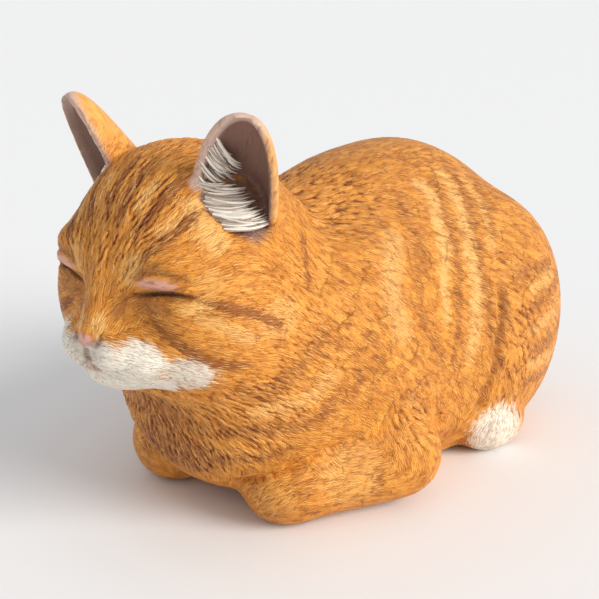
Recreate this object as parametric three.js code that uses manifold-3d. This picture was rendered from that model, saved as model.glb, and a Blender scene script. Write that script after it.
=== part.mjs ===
// A sleeping cat figurine in slip-cast ceramic, lying with its forepaws tucked under its chest.
// Millimetres, +Z up, the cat's nose towards -Y and its left side at +X. The origin is on the underside of
// the felt that the figurine rests on, below the middle of the torso.
//
// The torso and the head are hollow casts that open into each other at the neck. The ears, forelegs, hind
// paws and tail are cast separately and luted on with slip. Every luted joint keeps one slip layer of gap.
import * as THREE from "three";
import { mergeVertices } from "three/addons/utils/BufferGeometryUtils.js";
import Module from "manifold-3d";

const wasm = await Module();
wasm.setup();

// ---------------------------------------------------------------- driving dimensions
const torsoWidth = 184;
const torsoLength = 262;
const torsoHeight = 176;

const headWidth = 114;
const headLength = 112;
const headHeight = 112;

const earHeight = 55;
const earWidth = 35;
const earDepth = 15;
const earRake = 14;
const earThickness = 3.6;

const forelegLength = 60;
const wristDiameter = 45;
const elbowDiameter = 48;
const hindPawLength = 54;
const hindPawWidth = 34;
const tailRootDiameter = 32;
const tailTipDiameter = 20;

const wall = 5;
const slipLayer = 0.3;
const feltThickness = 1;
const feltInset = 8;
const pourHoleDiameter = 30;

// ---------------------------------------------------------------- soft forms
// A lump is an ellipsoid and a limb is a tapered, round-ended rod. Each gives its distance to a point,
// below zero inside, and a field blends several of them like pressed clay.
function lump([x, y, z], [rx, ry, rz], tilt = 0) {
  const centre = new THREE.Vector3(x, y, z);
  const turn = new THREE.Matrix4().makeRotationX(-tilt);
  const p = new THREE.Vector3();
  return (point) => {
    p.subVectors(point, centre).applyMatrix4(turn);
    const near = Math.hypot(p.x / rx, p.y / ry, p.z / rz);
    const slope = Math.hypot(p.x / rx ** 2, p.y / ry ** 2, p.z / rz ** 2);
    return slope < 1e-9 ? -Math.min(rx, ry, rz) : (near * (near - 1)) / slope;
  };
}

function limb([x0, y0, z0], r0, [x1, y1, z1], r1) {
  const start = new THREE.Vector3(x0, y0, z0);
  const along = new THREE.Vector3(x1, y1, z1).sub(start);
  const p = new THREE.Vector3();
  return (point) => {
    p.subVectors(point, start);
    const t = THREE.MathUtils.clamp(p.dot(along) / along.lengthSq(), 0, 1);
    return p.addScaledVector(along, -t).length() - THREE.MathUtils.lerp(r0, r1, t);
  };
}

const mirrored = (form) => {
  const p = new THREE.Vector3();
  return (point) => form(p.set(-point.x, point.y, point.z));
};
const pair = (form) => [form, mirrored(form)];

const blend = (softness, ...forms) => (point) => {
  let near = Infinity;
  for (const form of forms) {
    const d = form(point);
    const overlap = Math.max(softness - Math.abs(d - near), 0);
    near = Number.isFinite(near) ? Math.min(near, d) - overlap ** 2 / (4 * softness) : d;
  }
  return near;
};

// ---------------------------------------------------------------- solids
function solid(geometry) {
  const bare = geometry.index ? geometry.toNonIndexed() : geometry.clone();
  bare.deleteAttribute("normal");
  bare.deleteAttribute("uv");
  const merged = mergeVertices(bare, 1e-3);
  return new wasm.Manifold(
    new wasm.Mesh({
      numProp: 3,
      vertProperties: merged.attributes.position.array,
      triVerts: new Uint32Array(merged.index.array),
    }),
  );
}

// The closed skin of a field as seen from a centre, moved outwards by grow (inwards if it is negative).
function skin(field, centre, detail, grow = 0) {
  const geometry = new THREE.IcosahedronGeometry(1, detail);
  const position = geometry.attributes.position;
  const direction = new THREE.Vector3();
  const point = new THREE.Vector3();
  for (let i = 0; i < position.count; i++) {
    direction.fromBufferAttribute(position, i).normalize();
    let inside = 0;
    let outside = 0;
    for (let d = -1; d < 0; ) {
      d = field(point.copy(centre).addScaledVector(direction, outside)) - grow;
      if (d < 0) {
        inside = outside;
        outside += Math.max(-d * 0.7, 0.4);
      }
    }
    for (let k = 0; k < 14; k++) {
      const middle = (inside + outside) / 2;
      if (field(point.copy(centre).addScaledVector(direction, middle)) < grow) inside = middle;
      else outside = middle;
    }
    point.copy(centre).addScaledVector(direction, inside);
    position.setXYZ(i, point.x, point.y, point.z);
  }
  return solid(geometry);
}

// Everything on the side of a plane that its normal points to, as far as any piece reaches.
function halfSpace(point, normal) {
  const reach = 1000;
  const geometry = new THREE.BoxGeometry(reach, reach, reach);
  geometry.translate(0, 0, reach / 2);
  const turn = new THREE.Quaternion().setFromUnitVectors(new THREE.Vector3(0, 0, 1), normal);
  geometry.applyQuaternion(turn);
  geometry.translate(point.x, point.y, point.z);
  return solid(geometry);
}

const up = new THREE.Vector3(0, 0, 1);
const aboveHeight = (z) => halfSpace(new THREE.Vector3(0, 0, z), up);
const groundHeight = feltThickness + slipLayer;
const standing = aboveHeight(groundHeight);

// ---------------------------------------------------------------- torso and head as one clay form
// Places and radii are shares of the torso's half width, length and height.
const torsoPoint = ([x, y, z]) => [(x * torsoWidth) / 2, y * torsoLength, z * torsoHeight];
const torsoLump = (place, [rx, ry, rz], tilt) =>
  lump(torsoPoint(place), [(rx * torsoWidth) / 2, ry * torsoLength, rz * torsoHeight], tilt);

const torso = blend(
  24,
  torsoLump([0, 0.1, 0.33], [0.88, 0.37, 0.5]),
  torsoLump([0, 0.19, 0.59], [0.68, 0.28, 0.37]),
  torsoLump([0, 0.02, 0.57], [0.6, 0.19, 0.34]),
  torsoLump([0, 0.355, 0.4], [0.66, 0.215, 0.41]),
  ...pair(torsoLump([0.6, 0.29, 0.37], [0.42, 0.215, 0.4])),
  ...pair(torsoLump([0.5, -0.16, 0.4], [0.36, 0.17, 0.4])),
  torsoLump([0, -0.315, 0.375], [0.7, 0.2, 0.335]),
  torsoLump([0, -0.12, 0.64], [0.42, 0.16, 0.23]),
);

// Places and radii are shares of the head's half width, half length and half height, from its centre.
const headCentre = new THREE.Vector3(...torsoPoint([0, -0.47, 0.784]));
const headPoint = ([x, y, z]) => [
  headCentre.x + (x * headWidth) / 2,
  headCentre.y + (y * headLength) / 2,
  headCentre.z + (z * headHeight) / 2,
];
const headLump = (place, [rx, ry, rz], tilt) =>
  lump(headPoint(place), [(rx * headWidth) / 2, (ry * headLength) / 2, (rz * headHeight) / 2], tilt);
const headLimb = (from, r0, to, r1) =>
  limb(headPoint(from), (r0 * headWidth) / 2, headPoint(to), (r1 * headWidth) / 2);

const head = blend(
  11,
  headLump([0, 0.12, 0.12], [0.9, 0.84, 0.8]),
  ...pair(headLump([0.5, -0.2, -0.22], [0.48, 0.52, 0.45])),
  ...pair(headLump([0.38, -0.1, -0.62], [0.52, 0.56, 0.42])),
  headLump([0, -0.62, -0.55], [0.42, 0.3, 0.28]),
  ...pair(headLump([0.2, -0.7, -0.6], [0.24, 0.22, 0.2])),
  headLump([0, -0.6, -0.82], [0.26, 0.26, 0.15]),
  headLimb([0, -0.55, 0], 0.24, [0, -0.84, -0.42], 0.12),
  ...pair(headLump([0.4, -0.5, 0.08], [0.32, 0.22, 0.22])),
);

const ruff = limb(torsoPoint([0.3, -0.24, 0.48]), 0.21 * torsoWidth, headPoint([0.4, 0.1, -0.42]), 0.31 * headWidth);
const neck = blend(
  12,
  limb(torsoPoint([0, -0.33, 0.6]), 0.3 * torsoWidth, headPoint([0, 0.32, -0.16]), 0.45 * headWidth),
  ...pair(ruff),
);
const cat = blend(18, torso, head, neck);

// ---------------------------------------------------------------- torso and head casts
const torsoCentre = new THREE.Vector3(...torsoPoint([0, 0.02, 0.42]));
const neckSeam = new THREE.Vector3(...headPoint([0, 0.23, -0.14]));
const neckAxis = new THREE.Vector3(0, -0.77, 0.64).normalize();
const onNeck = (offset) => neckSeam.clone().addScaledVector(neckAxis, offset);
const headSide = halfSpace(onNeck(slipLayer / 2), neckAxis);
const torsoSide = halfSpace(onNeck(-slipLayer / 2), neckAxis.clone().negate());

const torsoHollow = skin(cat, torsoCentre, 7, -wall).intersect(aboveHeight(groundHeight + wall));
const pourHole = new THREE.CylinderGeometry(pourHoleDiameter / 2, pourHoleDiameter / 2, 6 * wall, 32);
pourHole.rotateX(Math.PI / 2).translate(torsoCentre.x, torsoCentre.y, groundHeight + wall);
const torsoShell = skin(cat, torsoCentre, 12)
  .intersect(standing)
  .subtract(torsoHollow)
  .subtract(solid(pourHole))
  .intersect(torsoSide);
const aroundTorso = skin(cat, torsoCentre, 12, slipLayer);

const headRays = new THREE.Vector3(...headPoint([0, -0.12, -0.1]));
const headShell = skin(cat, headRays, 11).subtract(skin(cat, headRays, 6, -wall)).intersect(headSide);
const aroundHead = skin(cat, headRays, 11, slipLayer);

// ---------------------------------------------------------------- pieces luted on
const lutedOn = (piece, ...others) =>
  others.reduce((left, other) => left.subtract(other), piece.intersect(standing));

// A cupped leaf: a box whose width is bent into an arc, narrowing to a round tip. Its foot is raked, low at
// the side of the head, and its back flares into the head.
function earSolid(side) {
  const geometry = new THREE.BoxGeometry(2, 1, 1, 12, 9, 1);
  const position = geometry.attributes.position;
  const root = new THREE.Vector3(...headPoint([0.66, -0.04, 0.36]));
  const rise = new THREE.Vector3(0.36, -0.206, 0.91).normalize();
  const open = new THREE.Vector3(0.45, -0.88, 0.1);
  open.addScaledVector(rise, -open.dot(rise)).normalize();
  const across = new THREE.Vector3().crossVectors(rise, open);
  const halfArc = 1.35;
  const lastRing = 0.93;
  const point = new THREE.Vector3();
  for (let i = 0; i < position.count; i++) {
    const angle = position.getX(i) * halfArc;
    const level = 1 - (1 - (position.getY(i) + 0.5) * lastRing) ** 2;
    const narrow = Math.sqrt(1 - level ** 2.5);
    const outer = position.getZ(i) > 0 ? 0 : earThickness;
    const flare = 1 + 0.7 * (1 - level) ** 2;
    const bulge = (Math.cos(angle) - Math.cos(halfArc)) / (1 - Math.cos(halfArc));
    point
      .copy(root)
      .addScaledVector(rise, level * earHeight - (1 - level) * earRake * (0.5 + position.getX(i) / 2))
      .addScaledVector(across, ((narrow * earWidth) / 2) * (Math.sin(angle) / Math.sin(halfArc)))
      .addScaledVector(open, -narrow * earDepth * flare * bulge)
      .addScaledVector(across, outer * Math.sin(angle))
      .addScaledVector(open, -outer * Math.cos(angle));
    position.setXYZ(i, side * point.x, point.y, point.z);
  }
  if (side < 0) flipFaces(geometry);
  return solid(geometry);
}

function flipFaces(geometry) {
  const index = geometry.index;
  for (let i = 0; i < index.count; i += 3) {
    const second = index.getX(i + 1);
    index.setX(i + 1, index.getX(i + 2));
    index.setX(i + 2, second);
  }
}

const mirrorX = (piece) => piece.scale([-1, 1, 1]);

// Forearm lying on the ground from the tucked wrist back to the elbow.
const wrist = new THREE.Vector3(...torsoPoint([0.42, -0.335, 0]));
wrist.z = wristDiameter / 2 - 1;
const elbow = wrist.clone().add(new THREE.Vector3(0.52, 0.85, 0).multiplyScalar(forelegLength));
elbow.z = elbowDiameter / 2 + 2;
const tuckedPaw = [wrist.x - wristDiameter * 0.3, wrist.y + wristDiameter * 0.5, wrist.z - 2];
const foreleg = blend(
  8,
  limb(wrist.toArray(), wristDiameter / 2, elbow.toArray(), elbowDiameter / 2),
  limb(wrist.toArray(), wristDiameter / 2, tuckedPaw, wristDiameter / 2.3),
);
const forelegMiddle = wrist.clone().lerp(elbow, 0.5);
const leftForeleg = lutedOn(skin(foreleg, forelegMiddle, 6), aroundTorso, aroundHead);
const aroundForeleg = skin(foreleg, forelegMiddle, 6, slipLayer);

const hindPawCentre = new THREE.Vector3(...torsoPoint([0.81, 0.2, 0]));
hindPawCentre.z = hindPawWidth * 0.42;
const hindPaw = lump(hindPawCentre.toArray(), [hindPawWidth / 2, hindPawLength / 2, hindPawWidth / 2]);
const leftHindPaw = lutedOn(skin(hindPaw, hindPawCentre, 4), aroundTorso, aroundForeleg);
const aroundHindPaw = skin(hindPaw, hindPawCentre, 4, slipLayer);

// A capsule bent along the ground, from under the rump round the right haunch to beside the right elbow.
const tailLine = new THREE.CatmullRomCurve3(
  [
    [0, 0.44, 0],
    [-0.42, 0.53, 0],
    [-0.9, 0.47, 0],
    [-1.16, 0.3, 0],
    [-1.2, 0.12, 0],
    [-1.08, -0.06, 0],
  ].map((place) => new THREE.Vector3(...torsoPoint(place))),
);
function tailSolid() {
  const length = 10;
  const geometry = new THREE.CapsuleGeometry(1, length, 3, 12, 24);
  const position = geometry.attributes.position;
  const point = new THREE.Vector3();
  for (let i = 0; i < position.count; i++) {
    const share = THREE.MathUtils.clamp(position.getY(i) / length + 0.5, 0, 1);
    const beyond = position.getY(i) - (share - 0.5) * length;
    const radius = THREE.MathUtils.lerp(tailRootDiameter, tailTipDiameter, share) / 2;
    const along = tailLine.getTangentAt(share);
    const aside = new THREE.Vector3().crossVectors(along, up).normalize();
    point
      .copy(tailLine.getPointAt(share))
      .addScaledVector(along, beyond * radius)
      .addScaledVector(aside, position.getX(i) * radius)
      .addScaledVector(up, (1 + position.getZ(i)) * radius);
    position.setXYZ(i, point.x, point.y, point.z + groundHeight - 0.5);
  }
  return solid(geometry);
}

// Felt glued under the torso, inside its outline and over the pour hole.
function feltSolid() {
  const outline = new THREE.Shape();
  const corners = 64;
  const point = new THREE.Vector3();
  for (let i = 0; i < corners; i++) {
    const angle = (i / corners) * 2 * Math.PI;
    let reach = 0;
    do {
      reach += 0.5;
      point.set(torsoCentre.x + reach * Math.cos(angle), torsoCentre.y + reach * Math.sin(angle), groundHeight);
    } while (cat(point) < 0);
    reach -= feltInset;
    const corner = [torsoCentre.x + reach * Math.cos(angle), torsoCentre.y + reach * Math.sin(angle)];
    if (i === 0) outline.moveTo(...corner);
    else outline.lineTo(...corner);
  }
  return solid(new THREE.ExtrudeGeometry(outline, { depth: feltThickness, bevelEnabled: false }));
}

// ---------------------------------------------------------------- scene
const ceramic = (color, roughness) => new THREE.MeshStandardMaterial({ color, roughness, metalness: 0 });
const ginger = ceramic("#c98a43", 0.6);
const felt = new THREE.MeshStandardMaterial({ color: "#5c4a3a", roughness: 0.95, metalness: 0 });

const figurine = new THREE.Group();
function place(name, made, material) {
  const { vertProperties, triVerts, numProp, numVert } = made.getMesh();
  const points = new Float32Array(numVert * 3);
  for (let i = 0; i < numVert; i++) {
    points.set(vertProperties.subarray(i * numProp, i * numProp + 3), i * 3);
  }
  const geometry = new THREE.BufferGeometry();
  geometry.setAttribute("position", new THREE.BufferAttribute(points, 3));
  geometry.setIndex(new THREE.BufferAttribute(triVerts, 1));
  geometry.computeVertexNormals();
  const mesh = new THREE.Mesh(geometry, material);
  mesh.name = name;
  figurine.add(mesh);
}

place("torso_shell", torsoShell, ginger);
place("head_shell", headShell, ginger);
place("left_ear", lutedOn(earSolid(1), aroundHead), ginger);
place("right_ear", lutedOn(earSolid(-1), aroundHead), ginger);
place("left_foreleg", leftForeleg, ginger);
place("right_foreleg", mirrorX(leftForeleg), ginger);
place("left_hind_paw", leftHindPaw, ginger);
place("right_hind_paw", mirrorX(leftHindPaw), ginger);
place("tail", lutedOn(tailSolid(), aroundTorso, mirrorX(aroundHindPaw), mirrorX(aroundForeleg)), ginger);
place("felt_base", feltSolid(), felt);

export default figurine;
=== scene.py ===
import math

import bmesh
import bpy
import numpy as np
from mathutils import Matrix, Vector, kdtree


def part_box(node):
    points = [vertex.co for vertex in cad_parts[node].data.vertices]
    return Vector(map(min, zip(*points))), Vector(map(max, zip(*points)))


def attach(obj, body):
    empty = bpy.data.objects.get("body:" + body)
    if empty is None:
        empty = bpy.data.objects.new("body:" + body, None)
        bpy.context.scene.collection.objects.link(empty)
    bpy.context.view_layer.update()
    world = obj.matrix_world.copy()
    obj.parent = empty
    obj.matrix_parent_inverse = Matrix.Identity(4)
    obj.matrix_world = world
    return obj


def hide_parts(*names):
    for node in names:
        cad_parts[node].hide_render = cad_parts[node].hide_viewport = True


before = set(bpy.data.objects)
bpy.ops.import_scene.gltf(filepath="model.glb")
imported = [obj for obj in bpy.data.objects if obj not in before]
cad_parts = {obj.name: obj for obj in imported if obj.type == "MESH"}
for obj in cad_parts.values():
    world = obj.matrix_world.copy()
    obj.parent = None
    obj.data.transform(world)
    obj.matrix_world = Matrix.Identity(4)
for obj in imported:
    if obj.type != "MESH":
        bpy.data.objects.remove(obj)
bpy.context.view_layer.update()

# ------------------------------------------------------------------ ceramic body
# The casts and the pieces luted on to them leave the kiln as one ceramic skin: torso, head, ears, forelegs,
# hind paws and tail. The joints are dressed over with slip while damp, so no seam shows from outside.
mm = 0.001
casts = [
    "torso_shell",
    "head_shell",
    "left_ear",
    "right_ear",
    "left_foreleg",
    "right_foreleg",
    "left_hind_paw",
    "right_hind_paw",
    "tail",
]
slip_layer = 0.3 * mm
clay_grain = 1.2 * mm


def put_in(name, data):
    """An object of that name, put in the scene."""
    made = bpy.data.objects.new(name, data)
    bpy.context.scene.collection.objects.link(made)
    return made


damp = bmesh.new()
for name in casts:
    cast = bmesh.new()
    cast.from_mesh(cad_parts[name].data)
    bmesh.ops.remove_doubles(cast, verts=cast.verts, dist=1e-6)
    cast.normal_update()
    for vert in cast.verts:
        vert.co += vert.normal * slip_layer
    cast_mesh = bpy.data.meshes.new(name)
    cast.to_mesh(cast_mesh)
    damp.from_mesh(cast_mesh)
    cast.free()
    bpy.data.meshes.remove(cast_mesh)

# A plug of clay closes the pour hole, so that the outer skin has no way in. The felt covers it.
torso_low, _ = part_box("torso_shell")
plug_place = Vector((0, 5.2 * mm, torso_low.z + 7 * mm))
plug_radius = 20 * mm
bmesh.ops.create_cone(
    damp,
    cap_ends=True,
    segments=32,
    radius1=plug_radius,
    radius2=plug_radius,
    depth=13.8 * mm,
    matrix=Matrix.Translation(plug_place),
)
damp_mesh = bpy.data.meshes.new("damp clay")
damp.to_mesh(damp_mesh)
damp.free()
damp_object = put_in("damp clay", damp_mesh)
fusing = damp_object.modifiers.new("slip", "REMESH")
fusing.mode = "VOXEL"
fusing.voxel_size = clay_grain
bpy.context.view_layer.update()
depsgraph = bpy.context.evaluated_depsgraph_get()
fused_mesh = bpy.data.meshes.new_from_object(damp_object.evaluated_get(depsgraph))
bpy.data.objects.remove(damp_object)

# Only the outer skin shows: the walk starts at the highest point and leaves the hollow inside behind.
skin = bmesh.new()
skin.from_mesh(fused_mesh)
bpy.data.meshes.remove(fused_mesh)
top = max(skin.verts, key=lambda v: v.co.z)
outside = {top}
edge_of_walk = [top]
while edge_of_walk:
    vert = edge_of_walk.pop()
    for edge in vert.link_edges:
        other = edge.other_vert(vert)
        if other not in outside:
            outside.add(other)
            edge_of_walk.append(other)
bmesh.ops.delete(skin, geom=[v for v in skin.verts if v not in outside], context="VERTS")


def read_points(bm):
    bm.verts.index_update()
    return np.array([v.co for v in bm.verts])


def read_edges(bm):
    return np.array([[v.index for v in e.verts] for e in bm.edges])


def write_points(bm, points):
    for vert, place in zip(bm.verts, points):
        vert.co = place


def relax(points, edges, passes, share):
    """Rubs the surface down: each pass moves a point by its share towards the middle of its neighbours."""
    n = len(points)
    a, b = edges[:, 0], edges[:, 1]
    count = np.bincount(edges.ravel(), minlength=n)[:, None]
    for _ in range(passes):
        total = np.stack(
            [np.bincount(a, points[b, k], n) + np.bincount(b, points[a, k], n) for k in range(3)], axis=1
        )
        points = points + np.reshape(share, (-1, 1)) * 0.5 * (total / count - points)
    return points


def step(low, high, value):
    t = np.clip((value - low) / (high - low), 0, 1)
    return t * t * (3 - 2 * t)


def inside_box(points, low, high, soft):
    """1 inside the box, fading to 0 over the soft margin outside it."""
    gap = np.maximum(np.maximum(np.array(low) - points, points - np.array(high)), 0)
    return 1 - step(0, soft, np.linalg.norm(gap, axis=1))


points = read_points(skin)
edges = read_edges(skin)
on_ear = np.zeros(len(points))
for name in ("left_ear", "right_ear"):
    ear_low, ear_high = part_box(name)
    above_root = (ear_low.x, ear_low.y, ear_low.z + 12 * mm)
    on_ear = np.maximum(on_ear, inside_box(points, above_root, ear_high, 6 * mm))
light_sponging, firm_sponging = 5, 45
points = relax(points, edges, light_sponging, 1.0)
points = relax(points, edges, firm_sponging, 1 - on_ear)
write_points(skin, points)

# The face and the chest are modelled more finely than the rest.
fine_low, fine_high = (-0.08, -0.2, 0.018), (0.08, -0.088, 0.22)
fine_region = inside_box(points, fine_low, fine_high, 1 * mm) > 0.5
fine_edges = [e for e in skin.edges if fine_region[e.verts[0].index] and fine_region[e.verts[1].index]]
bmesh.ops.subdivide_edges(skin, edges=fine_edges, cuts=1, use_grid_fill=True)
bmesh.ops.triangulate(skin, faces=[f for f in skin.faces if len(f.verts) > 4])
points = read_points(skin)
edges = read_edges(skin)
points = relax(points, edges, 2, 1.0)


def surface_normals(bm, points):
    write_points(bm, points)
    bm.normal_update()
    return np.array([v.normal for v in bm.verts])


normals = surface_normals(skin, points)

# ------------------------------------------------------------------ modelling the face and the folds
# While the clay is leather hard the eye sockets, lids, muzzle and folds are pressed in with loop tools.
# Places are millimetres on the cat's left; both sides get the same stroke.


def smooth_path(corners, per_corner=6):
    """A curve through given corners, in metres."""
    p = np.array(corners, float) * mm
    p = np.vstack([2 * p[0] - p[1], p, 2 * p[-1] - p[-2]])
    t = np.linspace(0, 1, per_corner, endpoint=False)[:, None]
    out = []
    for k in range(1, len(p) - 2):
        a, b, c, d = p[k - 1 : k + 3]
        curve = 2 * b + (c - a) * t
        curve = curve + (2 * a - 5 * b + 4 * c - d) * t**2
        curve = curve + (3 * b - a - 3 * c + d) * t**3
        out.append(0.5 * curve)
    return np.vstack(out + [p[-2][None]])


def laid_on(points, path):
    """The path dropped on to the nearest points of the clay."""
    low, high = path.min(0) - 12 * mm, path.max(0) + 12 * mm
    close = points[np.all((points > low) & (points < high), axis=1)]
    path = np.array([close[np.argmin(np.linalg.norm(close - place, axis=1))] for place in path])
    for _ in range(3):
        path[1:-1] = (path[:-2] + 2 * path[1:-1] + path[2:]) / 4
    return path


def near_path(points, path, reach):
    """Distance to the path and share of the way along it. Points out of reach get infinity."""
    distance = np.full(len(points), np.inf)
    along = np.zeros(len(points))
    low, high = path.min(0) - reach, path.max(0) + reach
    close = np.nonzero(np.all((points > low) & (points < high), axis=1))[0]
    p = points[close]
    best = np.full(len(close), np.inf)
    share = np.zeros(len(close))
    for k, (a, b) in enumerate(zip(path[:-1], path[1:])):
        t = np.clip(((p - a) @ (b - a)) / np.dot(b - a, b - a), 0, 1)
        d = np.linalg.norm(p - a - t[:, None] * (b - a), axis=1)
        better = d < best
        best[better] = d[better]
        share[better] = ((k + t) / (len(path) - 1))[better]
    distance[close] = best
    along[close] = share
    return distance, along


left_right = np.array([-1.0, 1.0, 1.0])


def both_sides(place):
    place = np.array(place, float)
    return [place, place * left_right]


def press(centre, radii, depth):
    """A soft push along the surface normal: depth in millimetres, negative goes in."""
    global points
    for c in both_sides(centre) if centre[0] else [np.array(centre, float)]:
        r = np.linalg.norm((points - c * mm) / (np.array(radii) * mm), axis=1)
        points = points + normals * (depth * mm * np.exp(-1.5 * r**2) * (r < 2.2))[:, None]


def from_line(corners, side, reach, through):
    """Distance to a given line and share along it. Depth along the way through isn't counted."""
    path = smooth_path(corners) * side
    if through is None:
        return near_path(points, laid_on(points, path), reach)
    close, _ = near_path(points, path, 9 * mm)
    way = np.array(through) * side / np.linalg.norm(through)
    flat = points - np.outer(points @ way, way)
    distance, along = near_path(flat, path - np.outer(path @ way, way), reach)
    distance[np.isinf(close)] = np.inf
    return distance, along


def score(corners, width, depth, taper=0.18, through=None):
    """A scored line of that half width and depth in millimetres, running out at both ends."""
    global points
    for side in (np.ones(3), left_right):
        distance, along = from_line(corners, side, 4 * width * mm, through)
        ends = step(0, taper, along) * step(0, taper, 1 - along)
        cut = np.exp(-((distance / (width * mm)) ** 2)) * ends * depth * mm
        points = points - normals * cut[:, None]


# Eye sockets, brow, nose bridge, muzzle pads, chin and cheeks.
press((31, -165, 134), (13, 10, 8), -4.0)
press((18, -167, 128), (7, 8, 9), -2.2)
press((30, -160, 149), (14, 10, 6), 2.0)
press((0, -170, 135), (7, 10, 20), 2.2)
press((0, -177, 119), (6, 8, 8), 1.2)
press((13, -172, 118), (5, 6, 5), -1.6)
press((10, -176, 104), (8, 8, 7), 2.4)
press((24, -168, 100), (10, 10, 8), 1.2)
press((0, -174, 93), (7, 8, 5), 1.5)
press((47, -153, 127), (13, 13, 13), -2.6)
press((27, -168, 119), (9, 8, 6), -2.4)
press((14, -175, 106), (10, 10, 8), 2.2)
press((28, -167, 103), (11, 10, 9), 1.8)
press((0, -179, 113), (4.5, 5, 4), 1.2)
normals = surface_normals(skin, points)

# The cup of the ear runs on down into the side of the head.
press((39, -134, 169), (8, 8, 8), -5.5)
press((46, -130, 161), (6, 7, 7), -4.5)
normals = surface_normals(skin, points)

# Closed lids: a full upper lid over a nearly straight slit.
press((30, -164.5, 138.6), (14, 8, 4.0), 2.6)
press((30, -164, 129), (12, 8, 3.5), 1.0)
normals = surface_normals(skin, points)
eye_slit = [
    (16, -168, 131.6),
    (20, -168, 132.8),
    (26, -167, 134.1),
    (32, -165, 135),
    (38, -162, 135.2),
    (44, -159, 134.4),
    (48.5, -154.5, 132.8),
]
lid_crease = [(17, -167, 138), (24, -166, 142.5), (32, -163, 143.5), (39, -159, 142), (46, -154, 138.5)]
eye_way = (0.40, -0.88, 0.24)
score(eye_slit, 0.9, 2.0, through=eye_way)
score(lid_crease, 1.1, 0.9, through=eye_way)
score([(16, -169, 131), (14, -170, 127), (15, -171, 122)], 1.6, 0.8)

# Nose leather, nostrils, philtrum and the parting of the lips.
score([(5, -178.5, 111), (7, -176.5, 110.5), (7.4, -175.5, 112.5), (6.2, -176, 114.5)], 0.9, 1.5)
philtrum = [(0, -179, 108), (0, -179, 104), (0, -178, 99.5)]
lip_parting = [(0, -178, 99.5), (4, -177, 98), (9, -175, 95.5), (15, -171, 92.5)]
score(philtrum, 0.9, 1.6, taper=0.3)
score(lip_parting, 0.9, 1.2)

# Folds: jaw over the throat, foreleg under the chest, elbow, haunch over the flank.
score([(10, -160, 82), (24, -150, 80), (40, -139, 83), (50, -130, 88)], 2.6, 2.2)
foreleg_fold = [(4, -122, 22), (20, -117, 24), (34, -111, 28), (50, -101, 36), (63, -86, 43), (74, -66, 50)]
score(foreleg_fold, 1.8, 2.6)
score([(79, -40, 62), (82, -22, 52), (82, -8, 38), (78, 2, 22)], 3.0, 2.4)
haunch_fold = [(80, 41, 107), (86, 39, 87), (87, 34, 67), (86.5, 33, 53), (82.5, 28, 37), (80, 27, 24)]
score(haunch_fold, 2.6, 3.6)
normals = surface_normals(skin, points)
points = relax(points, edges, 1, 1.0)
normals = surface_normals(skin, points)

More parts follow.
